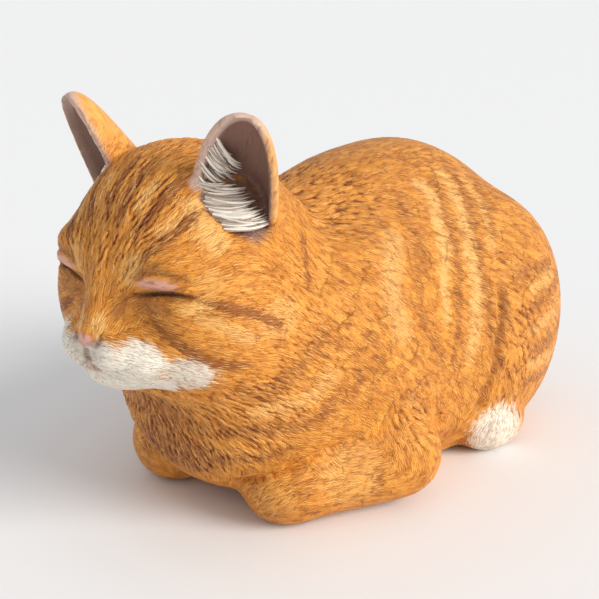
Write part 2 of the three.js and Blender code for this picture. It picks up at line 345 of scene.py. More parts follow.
# ------------------------------------------------------------------ combing the fur into the clay
# The fur is tooled lock by lock: short raised strokes that lie along the coat's growth, deep on the
# forehead, nape and chest, shallow on the flank, legs and backs of the ears.
growth = [
    # place in millimetres on the left side, and the way the hair lies there
    ((0, -177, 120), (0, 0.3, 0.95)),
    ((8, -173, 122), (0.45, 0.35, 0.85)),
    ((0, -170, 135), (0, 0.2, 1)),
    ((9, -168, 140), (0.25, 0.25, 0.95)),
    ((0, -163, 155), (0, 0.5, 0.85)),
    ((14, -162, 153), (0.25, 0.4, 0.9)),
    ((26, -162, 150), (0.55, 0.35, 0.75)),
    ((40, -155, 146), (0.8, 0.5, 0.35)),
    ((48, -148, 148), (0.6, 0.7, 0.35)),
    ((0, -148, 175), (0, 0.8, 0.6)),
    ((16, -150, 170), (0.25, 0.65, 0.7)),
    ((32, -148, 163), (0.45, 0.6, 0.65)),
    ((42, -138, 160), (0.45, 0.75, 0.5)),
    ((0, -120, 190), (0, 1, 0.1)),
    ((20, -125, 184), (0.3, 0.9, 0.25)),
    ((0, -90, 182), (0, 0.9, -0.4)),
    ((25, -85, 172), (0.25, 0.85, -0.45)),
    ((16, -167, 132), (0.8, 0.3, 0.5)),
    ((31, -165, 136), (0.95, 0.3, 0.1)),
    ((22, -168, 124), (0.85, 0.35, -0.4)),
    ((33, -164, 122), (0.8, 0.55, -0.25)),
    ((45, -157, 124), (0.65, 0.75, -0.1)),
    ((50, -152, 135), (0.6, 0.8, 0.1)),
    ((57, -140, 128), (0.35, 0.93, -0.05)),
    ((56, -142, 113), (0.4, 0.88, -0.25)),
    ((60, -122, 118), (0.15, 0.95, -0.25)),
    ((55, -130, 100), (0.3, 0.85, -0.45)),
    ((8, -177, 107), (0.8, 0.4, -0.35)),
    ((18, -173, 106), (0.85, 0.5, -0.15)),
    ((30, -166, 103), (0.75, 0.65, -0.2)),
    ((40, -158, 103), (0.6, 0.78, -0.2)),
    ((3, -174, 92), (0.3, 0.5, -0.8)),
    ((20, -165, 92), (0.65, 0.7, -0.3)),
    ((38, -150, 90), (0.5, 0.8, -0.35)),
    ((48, -138, 90), (0.4, 0.82, -0.42)),
    ((55, -118, 150), (0.15, 0.75, -0.6)),
    ((58, -100, 130), (0.1, 0.75, -0.65)),
    ((60, -105, 105), (0.2, 0.8, -0.55)),
    ((40, -80, 155), (0.3, 0.75, -0.6)),
    ((55, -75, 130), (0.2, 0.65, -0.75)),
    ((0, -60, 158), (0, 0.97, 0.1)),
    ((20, -45, 155), (0.25, 0.9, 0.3)),
    ((45, -45, 142), (0.3, 0.75, -0.55)),
    ((70, -65, 105), (0.2, 0.7, -0.7)),
    ((72, -70, 80), (0.35, 0.75, -0.55)),
    ((0, -150, 76), (0, -0.35, -0.95)),
    ((14, -148, 76), (0.35, -0.1, -0.9)),
    ((30, -140, 72), (0.5, 0.2, -0.8)),
    ((0, -140, 55), (0, 0.1, -1)),
    ((20, -133, 55), (0.35, 0.3, -0.9)),
    ((42, -122, 60), (0.6, 0.5, -0.6)),
    ((55, -110, 70), (0.55, 0.65, -0.5)),
    ((66, -92, 66), (0.45, 0.75, -0.45)),
    ((0, -125, 32), (0, 0.3, -0.95)),
    ((20, -122, 35), (0.1, 0.35, -0.9)),
    ((42, -110, 42), (0.45, 0.6, -0.6)),
    ((60, -92, 48), (0.5, 0.75, -0.35)),
    ((20, 0, 166), (0.1, 0.98, -0.05)),
    ((0, 30, 170), (0, 1, 0)),
    ((45, 0, 150), (0.25, 0.85, -0.45)),
    ((60, 20, 130), (0.2, 0.8, -0.55)),
    ((74, 0, 98), (0.1, 0.8, -0.6)),
    ((80, 10, 68), (0, 0.75, -0.65)),
    ((80, -15, 75), (0, 0.8, -0.6)),
    ((80, 15, 40), (0, 0.65, -0.75)),
    ((40, 70, 155), (0.2, 0.93, -0.3)),
    ((0, 90, 160), (0, 0.9, -0.4)),
    ((75, 60, 118), (0.3, 0.8, -0.5)),
    ((90, 70, 85), (0.1, 0.8, -0.6)),
    ((92, 85, 55), (0, 0.65, -0.75)),
    ((88, 50, 40), (-0.1, 0.55, -0.8)),
    ((60, 125, 100), (-0.1, 0.6, -0.8)),
    ((0, 145, 105), (0, 0.5, -0.87)),
    ((50, 140, 60), (-0.2, 0.3, -0.93)),
    ((0, 150, 60), (0, 0.1, -1)),
    ((70, 120, 25), (-0.1, 0.2, -0.97)),
    ((40, -112, 22), (-0.5, -0.6, -0.6)),
    ((45, -105, 35), (-0.6, -0.75, -0.2)),
    ((60, -95, 22), (-0.55, -0.83, 0)),
    ((72, -70, 25), (-0.52, -0.85, 0)),
    ((80, -45, 40), (-0.1, 0.3, -0.95)),
    ((82, -35, 52), (0.2, 0.75, -0.6)),
    ((72, -40, 12), (-0.5, -0.85, 0)),
    ((78, 30, 22), (0.1, -0.75, -0.6)),
    ((84, 45, 30), (0.2, -0.6, -0.75)),
    ((88, 60, 18), (0.3, -0.4, -0.85)),
    ((45, -118, 175), (0.36, -0.1, 0.93)),
    ((55, -122, 190), (0.36, -0.15, 0.92)),
    ((58, -135, 205), (0.36, -0.2, 0.91)),
    ((58, -118, 165), (0.4, 0, 0.91)),
]
tail_growth = [
    ((-20, 130, 20), (-0.9, 0.3, 0)),
    ((-60, 138, 18), (-0.97, -0.15, 0)),
    ((-92, 110, 16), (-0.5, -0.85, 0)),
    ((-108, 70, 16), (-0.15, -0.98, 0)),
    ((-110, 20, 14), (0.05, -1, 0)),
    ((-104, -15, 12), (0.2, -0.97, 0)),
]
mirrored = [(np.array(place) * left_right, np.array(way) * left_right) for place, way in growth]
guides = growth + mirrored + tail_growth
guide_at = np.array([place for place, _ in guides]) * mm
guide_way = np.array([way for _, way in guides])
guide_way /= np.linalg.norm(guide_way, axis=1)[:, None]

lie = np.zeros_like(points)
batch = 20000
for first in range(0, len(points), batch):
    some = points[first : first + batch]
    gap = np.linalg.norm(some[:, None] - guide_at[None], axis=2)
    weight = 1 / (gap / mm + 2) ** 5
    lie[first : first + batch] = weight @ guide_way


def flat_on(normals, way):
    way = way - normals * np.sum(way * normals, axis=1)[:, None]
    return way / np.maximum(np.linalg.norm(way, axis=1), 1e-9)[:, None]


lie = flat_on(normals, lie)
chance = np.random.default_rng(11)


def scattered(points, spacing, where):
    """Points of the mask thinned out at random until none is nearer than the spacing to another."""
    order = chance.permutation(np.nonzero(where)[0])
    cell = np.floor((points[order] + chance.random(3) * spacing) / (0.7 * spacing)).astype(int)
    order = order[np.sort(np.unique(cell, axis=0, return_index=True)[1])]
    tree = kdtree.KDTree(len(order))
    for k, index in enumerate(order):
        tree.insert(points[index], k)
    tree.balance()
    taken, dropped = [], set()
    for k, index in enumerate(order):
        if k not in dropped:
            taken.append(index)
            dropped.update(hit[1] for hit in tree.find_range(points[index], spacing))
    return np.array(taken)


def region(*lumps):
    """1 inside ellipsoids given in millimetres on the left side, fading to 0 at their edges."""
    out = np.zeros(len(points))
    for centre, radii, strength in lumps:
        for c in both_sides(centre):
            r = np.linalg.norm((points - c * mm) / (np.array(radii) * mm), axis=1)
            out = np.maximum(out, strength * (1 - step(0.6, 1.15, r)))
    return out


# How deep the fur is tooled, in millimetres.
bare = region(
    ((52, -125, 190), (26, 30, 34), 1.0),
    ((31, -165, 138.5), (15, 10, 5), 0.9),
    ((3, -180, 112), (8, 6, 6), 1.0),
)
deep = region(
    ((0, -160, 165), (40, 30, 34), 1.0),
    ((0, -125, 190), (30, 30, 14), 0.9),
    ((20, -45, 158), (42, 45, 28), 0.9),
    ((20, -135, 55), (48, 34, 34), 0.95),
    ((50, -118, 72), (26, 30, 26), 0.6),
    ((62, -88, 110), (24, 40, 46), 0.3),
    ((88, 48, 80), (16, 22, 50), 0.6),
    ((82, -38, 48), (12, 20, 20), 0.8),
    ((84, 45, 22), (16, 26, 20), 0.5),
)
smooth_legs = region(((60, -88, 18), (36, 42, 24), 0.65))
depth = (0.24 + 0.9 * deep) * (1 - 0.75 * smooth_legs) * (1 - 0.92 * bare)


def nearest(sources, targets, count):
    """Indices of the count nearest sources to each target, and their distances."""
    tree = kdtree.KDTree(len(sources))
    for k, place in enumerate(sources):
        tree.insert(place, k)
    tree.balance()
    found = [tree.find_n(place, count) for place in targets]
    indices = np.array([[hit[1] for hit in row] for row in found])
    distances = np.array([[hit[2] for hit in row] for row in found])
    return indices, distances


finer = inside_box(points, fine_low, fine_high, 1 * mm) > 0.5
relief = np.zeros(len(points))
tone = np.full(len(points), 0.5)
lock_root = np.arange(len(points))
passes = (
    # where, then the locks' spacing, length and half width in millimetres
    (finer, 2.1, 11.0, 0.95),
    (~finer, 3.0, 11.0, 1.55),
)
for where, spacing, length, width in passes:
    root = scattered(points, spacing * mm, where)
    count = len(root)
    wander = chance.normal(0, 0.13, count)[:, None]
    side = np.cross(normals[root], lie[root])
    way = lie[root] * np.cos(wander) + side * np.sin(wander)
    side = np.cross(normals[root], way)
    lock_length = length * mm * chance.uniform(0.75, 1.25, count)
    lock_width = width * mm * chance.uniform(0.75, 1.25, count)
    lock_order = chance.random(count)
    curl = chance.normal(0, 10.0, count)
    lock_tone = chance.random(count)
    under = np.nonzero(where)[0]
    near, _ = nearest(points[root], points[under], 22)
    gap = points[under][:, None] - points[root][near]
    s = np.sum(gap * way[near], axis=2)
    t = np.sum(gap * side[near], axis=2) - curl[near] * s * s
    u = s / lock_length[near] + 0.5
    pointed = step(0, 0.35, u) * step(0, 0.3, 1 - u)
    across = np.clip(1 - (t / (lock_width[near] * (0.25 + 0.75 * pointed))) ** 2, 0, 1) ** 0.4
    height = across * pointed * (0.4 + 0.6 * lock_order[near])
    best = np.argmax(height, axis=1)
    row = np.arange(len(under))
    relief[under] = height[row, best]
    tone[under] = lock_tone[near[row, best]]
    lock_root[under] = root[near[row, best]]
combed = points + normals * ((relief - 0.45) * depth * mm)[:, None]

# ------------------------------------------------------------------ painting
# The glaze colours are brushed on by hand: ginger ground, rust bars, pale bands between them, a cream
# muzzle and paws, pink nose and lids, mauve ears. Painted shade goes on too: brown in the creases, folds and
# round the eyes and nostrils, and rust over the chest under the chin. Each lock of fur takes the colour
# found at its root.


def band(corners, width, soft=0.6, taper=0.15, through=None):
    """A brushed bar along given corners, as a mask on both sides."""
    out = np.zeros(len(points))
    for side in (np.ones(3), left_right):
        distance, along = from_line(corners, side, 2 * width * mm, through)
        ends = step(0, taper, along) * step(0, taper, 1 - along)
        out = np.maximum(out, ends * (1 - step(1 - soft, 1 + soft, distance / (width * mm))))
    return out


def bars(*rows):
    """Bars laid together. A row says how strong, the corners, the half width, then as for a band."""
    out = np.zeros(len(points))
    for strength, *measures in rows:
        out = np.maximum(out, strength * band(*measures))
    return out


rust_and_chest_shade = bars(
    # forehead
    (1, [(36, -138.5, 170), (32, -150.5, 160.5), (27, -160.5, 153), (22, -164, 148)], 2.6),
    (1, [(24, -135, 181), (21, -151, 170), (13, -162, 155)], 2.6),
    (1, [(6, -132, 187), (5, -152, 174), (3, -162.5, 157)], 2.4),
    (1, [(42, -120, 172), (36, -112, 172), (26, -105, 176)], 3.0),
    # cheeks
    (1, [(49, -154, 131), (56, -143, 128), (60, -128, 121), (61, -112, 111)], 2.6),
    (1, [(21, -165, 125), (33, -163, 117), (42, -157, 109.5), (50, -147, 102), (57, -128, 100)], 2.6),
    (0.6, [(49, -139.5, 93), (51, -122, 79), (59, -110, 89), (64, -98, 100), (62.5, -85, 114)], 4.5),
    # neck and chest
    (0.8, [(47, -87, 150), (53.5, -92, 138), (58, -94, 125)], 2.5),
    (
        0.6,
        [(0, -140, 62), (24, -131, 58), (44, -121, 60), (59, -103, 61), (66, -93, 66), (72, -81, 80)],
        4.0,
    ),
    (0.7, [(0, -130, 45), (22, -125, 42), (44, -114, 45), (60, -97, 50)], 3.0),
    # flank
    (0.55, [(36, 8, 153), (46, 0, 143), (57, -3, 130), (64, -8, 120), (68, -19, 117)], 6.0, 1.0),
    (0.55, [(59, -12, 129), (71, -23, 111), (76, -26, 95), (78, -15, 80), (79, -5, 62)], 3.6),
    (0.65, [(37, 33, 156), (46, 32, 148), (56, 27, 136), (63, 21, 125), (69, 17, 112), (73, 12, 100)], 2.8),
    (0.65, [(69, 17, 112), (73, 12, 100), (76, 10, 87), (78, 3, 75), (79, 1, 56)], 2.6),
    (0.65, [(31, 62, 159), (47, 53, 148), (59, 44, 136), (69, 37, 124), (73, 32, 113)], 3.2),
    (0.6, [(69, 37, 124), (73, 32, 113), (79, 30, 101), (82, 30, 90), (84, 29, 78), (85, 27, 58)], 2.6),
    (0.5, [(24, 84, 158), (38, 78, 150), (55, 64, 142), (66, 54, 133), (72, 49, 126), (78, 45, 116)], 3.0),
    (0.5, [(30, -20, 156), (48, -24, 140), (62, -30, 124)], 3.0),
    (0.45, [(71, -70, 104), (75, -62, 92), (76, -64, 81), (75.5, -68, 69)], 3.0),
    (0.45, [(70, -76, 98), (73, -77, 80), (72, -79, 64)], 2.6),
    # haunch
    (0.6, [(83, 46, 104), (88, 70, 102.5), (84, 95, 105)], 4.0),
    (0.6, [(89, 47, 79.5), (92, 70, 86), (90, 90, 89), (80, 112, 92)], 4.0),
    (0.6, [(91, 51, 60), (93.5, 73, 58), (92, 92, 61), (80, 115, 64)], 4.0),
    (0.6, [(90, 56, 40), (90.5, 80, 37), (84, 105, 38)], 3.5),
    (0.6, [(60, 80, 136), (50, 105, 134), (34, 122, 132)], 4.0),
    # legs
    (0.5, [(38, -111, 31), (35, -111, 17)], 2.5),
    (0.5, [(56, -99, 43), (56.5, -101, 31), (59.5, -99, 18)], 4.5, 1.0),
    (0.5, [(79, -65, 32), (76.5, -62, 11)], 3.5, 1.0),
    (0.6, [(78, -49, 60), (79.5, -36, 58), (77, -14, 41)], 3.0),
)
# Painted shade: the two rust patches over the chest stand for the shade under the chin.
rust_and_chest_shade = np.maximum(rust_and_chest_shade, region(((0, -142, 62), (30, 18, 16), 0.7), ((0, -130, 40), (36, 18, 18), 0.8)))
pale = bars(
    (
        0.7,
        [(49, -13, 138), (58, -26, 134), (65, -38, 128), (71, -46, 116), (76, -46, 99), (79, -40, 85)],
        7.0,
        1.0,
    ),
    (
        0.9,
        [(34, 16, 156), (41, 22, 152), (46, 24, 148), (54, 19, 138), (61, 14, 126), (65, 10, 117)]
        + [(70, 2, 106)],
        4.2,
        1.0,
    ),
    (0.9, [(65, 10, 117), (70, 2, 106), (73, 0, 96), (77, -4, 84)], 3.6, 1.0),
    (0.9, [(32, 47, 159), (45, 44, 149), (57, 39, 138), (65, 32, 126), (71, 28, 114)], 4.0, 1.0),
    (0.9, [(65, 32, 126), (71, 28, 114), (76, 26, 101), (79, 21, 89), (81, 18, 77), (80, 9, 54)], 4.2, 1.0),
    (0.6, [(34, 66, 156), (52, 58, 144), (62, 54, 136), (71, 46, 124), (76, 40, 112)], 3.0, 1.0),
    (0.6, [(42, -126, 71), (53.5, -114, 71), (64, -99, 76), (69, -85, 90)], 4.0, 1.0),
    (0.6, [(88, 58, 92), (91, 75, 95), (88, 95, 98)], 4.0, 1.0),
    (0.6, [(91, 55, 70), (94, 75, 72), (91, 95, 75)], 4.0, 1.0),
    (0.6, [(91, 55, 50), (93, 78, 48), (88, 98, 50)], 4.0, 1.0),
    (0.8, [(30, -150, 166), (25, -159, 156)], 2.6, 1.0),
    (0.8, [(14, -143, 179), (12, -157, 165)], 2.6, 1.0),
    (0.7, [(44, -158, 127), (54, -147, 120), (59, -130, 110)], 3.2, 1.0),
    (0.9, [(28, -141, 174), (36, -144, 167), (44, -142, 158), (48, -138, 150)], 5.5, 1.0),
    (0.8, [(15, -168, 135), (17, -167, 144), (23, -164, 152)], 3.5, 1.0),
    (0.8, [(40, -161, 128), (47, -155, 130), (52, -148, 132)], 3.0, 1.0),
)
pale = np.maximum(
    pale,
    region(
        ((68, -74, 28), (20, 22, 20), 0.4),
        ((50, -112, 20), (18, 14, 16), 0.3),
        ((58, -118, 118), (8, 16, 12), 0.5),
        ((50, -150, 140), (8, 8, 8), 0.4),
        ((6, -176, 119), (5, 5, 6), 0.8),
        ((52, -125, 190), (26, 30, 34), 0.5),
    ),
)
cream = region(
    ((9, -176, 104), (12, 10, 10), 0.9),
    ((22, -169, 103), (15, 12, 12), 1.0),
    ((38, -155, 97), (14, 16, 11), 0.7),
    ((0, -173, 94), (10, 9, 9), 0.9),
    ((20, -162, 89), (20, 14, 8), 0.9),
    ((4, -170, 87), (18, 13, 8), 0.9),
    ((11, -172, 94), (11, 10, 9), 1.0),
    ((84, 42, 13), (14, 24, 20), 0.75),
)
pink = region(
    ((0.5, -180, 111.5), (5.0, 4, 3.6), 0.9),
    ((31, -164, 138.4), (13, 6, 3.4), 0.75),
    ((0, -178, 98), (8, 4, 2.6), 0.5),
)
umber = bars(
    (1, eye_slit, 0.75, 0.6, 0.4, eye_way),
    (0.35, philtrum, 0.9),
    (0.35, lip_parting, 0.8),
)
umber = np.maximum(umber, region(((18, -168, 132.4), (3.4, 4, 1.5), 0.95)))
# Painted shade in brown: round the eye slit and under the eye, in the lid crease, at the nostril and
# philtrum, and along the haunch fold.
painted_shade = bars(
    (0.6, eye_slit, 2.0, 1.0, 0.2, eye_way),
    (0.5, [(17, -168, 132), (14, -170, 127), (15, -171, 121)], 2.6, 1.0),
    (
        0.5,
        [(18, -168, 139.5), (26, -165, 144), (36, -161, 143.5), (44, -156, 140.5)],
        1.8,
        1.0,
        0.15,
        eye_way,
    ),
    (0.8, [(4.5, -178, 110), (7.2, -176, 110.5), (7.4, -175, 113)], 1.8, 1.0),
    (0.5, philtrum, 2.2, 1.0),
    (0.5, haunch_fold, 2.8, 1.0),
)
painted_shade = np.maximum(
    painted_shade,
    region(
        ((27, -166, 128), (12, 7, 5), 0.45),
        ((6, -177, 110), (3.5, 3, 2.6), 0.6),
        ((3, -179, 105), (7, 6, 6), 0.22),
    ),
)

# The cup of each ear, and the rolled rim round it: places are taken along the ear's rise, its opening way
# and across it, from its root on the side of the head, in millimetres.
ear_root = np.array((37.6, -125.2, 158.2))
ear_rise = np.array((0.36, -0.206, 0.91))
ear_open = np.array((0.329, -0.885, -0.330))
ear_across = np.cross(ear_rise, ear_open)
ear_height, ear_half_width, ear_depth, ear_rake, ear_half_arc = 55, 17.5, 15, 14, 1.35


def in_ear(share, level, out=0.0):
    """A place in the left ear's cup: share -1 to 1 from inner to outer edge, level 0 to 1 up to the tip."""
    angle = share * ear_half_arc
    narrow = math.sqrt(1 - max(level, 0) ** 2.5)
    bulge = (math.cos(angle) - math.cos(ear_half_arc)) / (1 - math.cos(ear_half_arc))
    flare = 1 + 0.7 * (1 - level) ** 2
    return (
        ear_root
        + ear_rise * (level * ear_height - (1 - level) * ear_rake * (0.5 + share / 2))
        + ear_across * narrow * ear_half_width * math.sin(angle) / math.sin(ear_half_arc)
        + ear_open * (out - narrow * ear_depth * flare * bulge)
    )


cup_middle = ear_root + ear_rise * 6 + ear_open * -2 + ear_across * 2
rim_stations = (
    (-1, 0.3),
    (-1, 0.6),
    (-1, 0.8),
    (-0.9, 0.92),
    (-0.4, 0.985),
    (0.4, 0.985),
    (0.9, 0.92),
    (1, 0.8),
    (1, 0.6),
    (1, 0.4),
)
rim_line = smooth_path([in_ear(share, level) for share, level in rim_stations])
mauve = np.zeros(len(points))
rim = np.zeros(len(points))
for side in (np.ones(3), left_right):
    from_root = points / mm - ear_root * side
    up, open_way, across = (from_root @ (v * side) for v in (ear_rise, ear_open, ear_across))
    axis = ear_root * side + np.outer(np.clip(up, -8, 50), ear_rise * side) + ear_open * side * 2
    inward = axis - points / mm
    inward /= np.linalg.norm(inward, axis=1)[:, None] + 1e-9
    facing = np.sum(normals * inward, axis=1)
    near_leaf = (np.abs(across) < 24) & (up > -14) & (up < 56) & (open_way > -26) & (open_way < 6)
    mauve = np.maximum(mauve, near_leaf * step(0.15, 0.55, facing) * step(-13, -6, up))
    from_middle = np.linalg.norm(points / mm - cup_middle * side, axis=1)
    cup_floor = (1 - step(13, 19, from_middle)) * step(-0.7, -0.3, normals @ (ear_open * side))
    mauve = np.maximum(mauve, cup_floor * (1 - step(5, 10, open_way)))
    distance, along = near_path(points, rim_line * side, 9 * mm)
    rim = np.maximum(rim, (1 - step(2.2, 5.0, distance / mm)) * (1 - 0.75 * step(0.55, 0.8, along)))


def brushed(mask, share=0.65):
    """Strokes carry the colour of their root out over the edge of a patch."""
    return (1 - share) * mask + share * mask[lock_root]


rust_and_chest_shade, pale, cream, painted_shade = brushed(rust_and_chest_shade), brushed(pale), brushed(cream, 0.75), brushed(painted_shade, 0.5)
points = combed
normals = surface_normals(skin, points)

# Two overlapping sets of brush patches, so that fine strokes can follow the fur without a seam: each point
# leans on the set whose patch edge is farther away.
patch_spacing = 13 * mm
brush, inner = [], []
for k in range(2):
    root = scattered(points, patch_spacing, np.ones(len(points), bool))
    side = np.cross(normals[root], lie[root])
    seed = chance.uniform(0, 40, len(root))
    near, far = nearest(points[root], points, 2)
    mine = near[:, 0]
    gap = points - points[root][mine]
    down_coat = np.sum(gap * lie[root][mine], axis=1)
    over_coat = np.sum(gap * side[mine], axis=1)
    stroke = np.stack([down_coat, over_coat, seed[mine] * mm], axis=1)
    brush.append(stroke / mm)
    inner.append(step(0.5, 4.0, (far[:, 1] - far[:, 0]) / mm) + 1e-4)
lean = inner[1] ** 2 / (inner[0] ** 2 + inner[1] ** 2)

# ------------------------------------------------------------------ glazed finish
# Satin glaze over brushed underglaze colours: each stroke keeps a pale ridge and a dark line beside it, and
# a thin brown wash lies in the grooves.


def feed(tree, node, inputs):
    """Values, or the outputs of other nodes, for inputs given by name or by number."""
    for key, value in inputs.items():
        if isinstance(value, bpy.types.NodeSocket):
            tree.links.new(value, node.inputs[key])
        else:
            node.inputs[key].default_value = value


def add_node(tree, kind, inputs=None, **settings):
    node = tree.nodes.new(kind)
    for key, value in settings.items():
        setattr(node, key, value)
    feed(tree, node, inputs or {})
    return node


def new_material(name):
    """A material of that name, with its node tree and its shader."""
    material = bpy.data.materials.new(name)
    material.use_nodes = True
    return material, material.node_tree, material.node_tree.nodes["Principled BSDF"]


def new_group(name, kind, inputs, outputs):
    """An empty node group with its sockets: what each is called, and its kind."""
    tree = bpy.data.node_groups.new(name, kind)
    for in_out, sockets in (("INPUT", inputs), ("OUTPUT", outputs)):
        for label, holds in sockets.items():
            tree.interface.new_socket(label, in_out=in_out, socket_type="NodeSocket" + holds)
    return tree


def attribute(tree, name, output="Fac"):
    return add_node(tree, "ShaderNodeAttribute", attribute_name=name).outputs[output]


def work(tree, operation, *values):
    node = add_node(tree, "ShaderNodeMath", dict(enumerate(values)), operation=operation)
    return node.outputs[0]


def mixed(tree, share, a, b, blend="MIX"):
    node = add_node(tree, "ShaderNodeMix", {0: share, 6: a, 7: b}, data_type="RGBA", blend_type=blend)
    return node.outputs[2]


def spread(tree, value, low, high, to_low=0.0, to_high=1.0):
    inputs = dict(enumerate((value, low, high, to_low, to_high)))
    return add_node(tree, "ShaderNodeMapRange", inputs, clamp=True).outputs[0]


def brush_strokes():
    """A node group: the height of fine combed strokes from the two sets of brush patches."""
    inputs = {"Stroke length": "Float", "Stroke width": "Float"}
    tree = new_group("brush strokes", "ShaderNodeTree", inputs, {"Height": "Float"})
    given = add_node(tree, "NodeGroupInput").outputs
    patch_shift, wave_pace, wave_swing, hair_scale = 13.7, 0.12, 1.2, 2.4
    heights = []
    for k in range(2):
        place = add_node(tree, "ShaderNodeSeparateXYZ", {0: attribute(tree, f"brush_{k}", "Vector")}).outputs
        shifted = work(tree, "MULTIPLY", place[2], patch_shift)
        paced = work(tree, "MULTIPLY_ADD", place[0], wave_pace, shifted)
        wave = add_node(tree, "ShaderNodeTexNoise", {"W": paced}, noise_dimensions="1D")
        bend = work(tree, "MULTIPLY_ADD", wave.outputs["Fac"], wave_swing, place[1])
        down_coat = work(tree, "ADD", work(tree, "DIVIDE", place[0], given[0]), shifted)
        over_coat = work(tree, "DIVIDE", bend, given[1])
        spot = add_node(tree, "ShaderNodeCombineXYZ", {0: down_coat, 1: over_coat}).outputs[0]
        cells = add_node(
            tree,
            "ShaderNodeTexVoronoi",
            {"Vector": spot, "Scale": 1.0},
            voronoi_dimensions="2D",
            feature="DISTANCE_TO_EDGE",
        )
        fine = {"Vector": spot, "Scale": hair_scale}
        hair = add_node(tree, "ShaderNodeTexNoise", fine, noise_dimensions="2D")
        rounded = spread(tree, cells.outputs[0], 0.0, 0.42, 0.0, 0.6)
        heights.append(work(tree, "MULTIPLY_ADD", hair.outputs["Fac"], 0.5, rounded))
    inputs = {0: attribute(tree, "lean"), 2: heights[0], 3: heights[1]}
    blend = add_node(tree, "ShaderNodeMix", inputs, data_type="FLOAT")
    add_node(tree, "NodeGroupOutput", {0: blend.outputs[0]})
    return tree


# Glaze colours.
ginger_dark, ginger_light = (0.60, 0.205, 0.022, 1), (0.86, 0.355, 0.050, 1)
# The rust red serves the stripes and also the painted shade over the chest.
pale_ginger, rust_red_and_shade = (0.94, 0.53, 0.17, 1), (0.30, 0.085, 0.014, 1)
cream_white, ear_mauve = (0.90, 0.85, 0.74, 1), (0.27, 0.15, 0.115, 1)
rim_pink, nose_pink = (0.64, 0.47, 0.40, 1), (0.78, 0.42, 0.36, 1)
groove_wash, line_wash = (0.24, 0.095, 0.032, 1), (0.36, 0.17, 0.06, 1)
crest_ginger, ridge_ginger = (0.94, 0.52, 0.17, 1), (0.96, 0.54, 0.18, 1)
# The dark brown is painted shade for the creases, the folds and the hollows round the eyes and nostrils.
shade_brown, burnt_umber = (0.20, 0.075, 0.030, 1), (0.045, 0.018, 0.010, 1)


def painted_ceramic():
    material, tree, shader = new_material("painted ceramic")
    inputs = {"Stroke length": 8.0, "Stroke width": 1.05}
    stroke = add_node(tree, "ShaderNodeGroup", inputs, node_tree=brush_strokes()).outputs["Height"]
    relief_of = attribute(tree, "relief")
    tone_of = attribute(tree, "tone")
    furry = attribute(tree, "furry")

    ginger = mixed(tree, tone_of, ginger_dark, ginger_light)
    broken = work(tree, "SUBTRACT", stroke, 0.5)

    def patch_of(name, toward, low, high, most):
        """A painted patch whose edge breaks up into strokes."""
        ragged = work(tree, "MULTIPLY_ADD", broken, toward, attribute(tree, name))
        in_patch = spread(tree, attribute(tree, name), 0, 0.1)
        return work(tree, "MULTIPLY", spread(tree, ragged, low, high, 0, most), in_patch)

    colour = mixed(tree, patch_of("pale", 0.5, 0.1, 0.9, 0.85), ginger, pale_ginger)
    # Rust carries the stripes and also the painted shade on the chest under the chin.
    colour = mixed(tree, patch_of("rust_and_chest_shade", -0.5, 0.1, 0.9, 0.85), colour, rust_red_and_shade)
    colour = mixed(tree, patch_of("cream", 0.9, 0.2, 0.75, 1.0), colour, cream_white)
    colour = mixed(tree, attribute(tree, "mauve"), colour, ear_mauve)
    colour = mixed(tree, work(tree, "MULTIPLY", attribute(tree, "rim"), 0.85), colour, rim_pink)
    colour = mixed(tree, attribute(tree, "pink"), colour, nose_pink)

    # Thin brown wash lies in the grooves between the locks, and the crests are wiped back.
    sunk = work(tree, "MULTIPLY_ADD", attribute(tree, "deep"), 0.55, 0.42)
    sunk = work(tree, "MULTIPLY", spread(tree, relief_of, 0.0, 0.55, 1.0, 0.0), sunk)
    sunk = work(tree, "MULTIPLY", sunk, spread(tree, attribute(tree, "cream"), 0.2, 0.8, 1.0, 0.45))
    groove = mixed(tree, sunk, colour, groove_wash, "MULTIPLY")
    wiped = work(tree, "MULTIPLY", attribute(tree, "deep"), 0.35)
    crest = work(tree, "MULTIPLY", spread(tree, relief_of, 0.6, 0.95), wiped)
    groove = mixed(tree, work(tree, "MULTIPLY", furry, crest), groove, crest_ginger)
    ridge = spread(tree, stroke, 0.55, 0.9)
    line = spread(tree, stroke, 0.12, 0.42, 1.0, 0.0)
    ridge_share = work(tree, "MULTIPLY", furry, work(tree, "MULTIPLY", ridge, 0.5))
    line_share = work(tree, "MULTIPLY", furry, work(tree, "MULTIPLY", line, 0.9))
    colour = mixed(tree, ridge_share, groove, ridge_ginger)
    colour = mixed(tree, line_share, colour, line_wash, "MULTIPLY")
    # Painted shade: brown laid over the creases, the folds and round the eyes and nostrils.
    colour = mixed(tree, attribute(tree, "painted_shade"), colour, shade_brown)
    colour = mixed(tree, attribute(tree, "umber"), colour, burnt_umber)

    raised = work(tree, "MULTIPLY", stroke, furry)
    bump = add_node(tree, "ShaderNodeBump", {"Distance": 0.0009, "Strength": 0.74, "Height": raised})
    finish = {
        "Base Color": colour,
        "Normal": bump.outputs[0],
        "Roughness": spread(tree, stroke, 0, 0.8, 0.55, 0.38),
        "Specular IOR Level": 0.3,
    }
    feed(tree, shader, finish)
    return material


ceramic = painted_ceramic()
furry = 1 - 0.85 * bare

# The fired skin is cut again along the joints, one piece for each cast, and the long torso once more behind
# the shoulders. Shading normals come from the whole skin, so the glaze runs over the joints unbroken.
write_points(skin, points)
skin.faces.ensure_lookup_table()
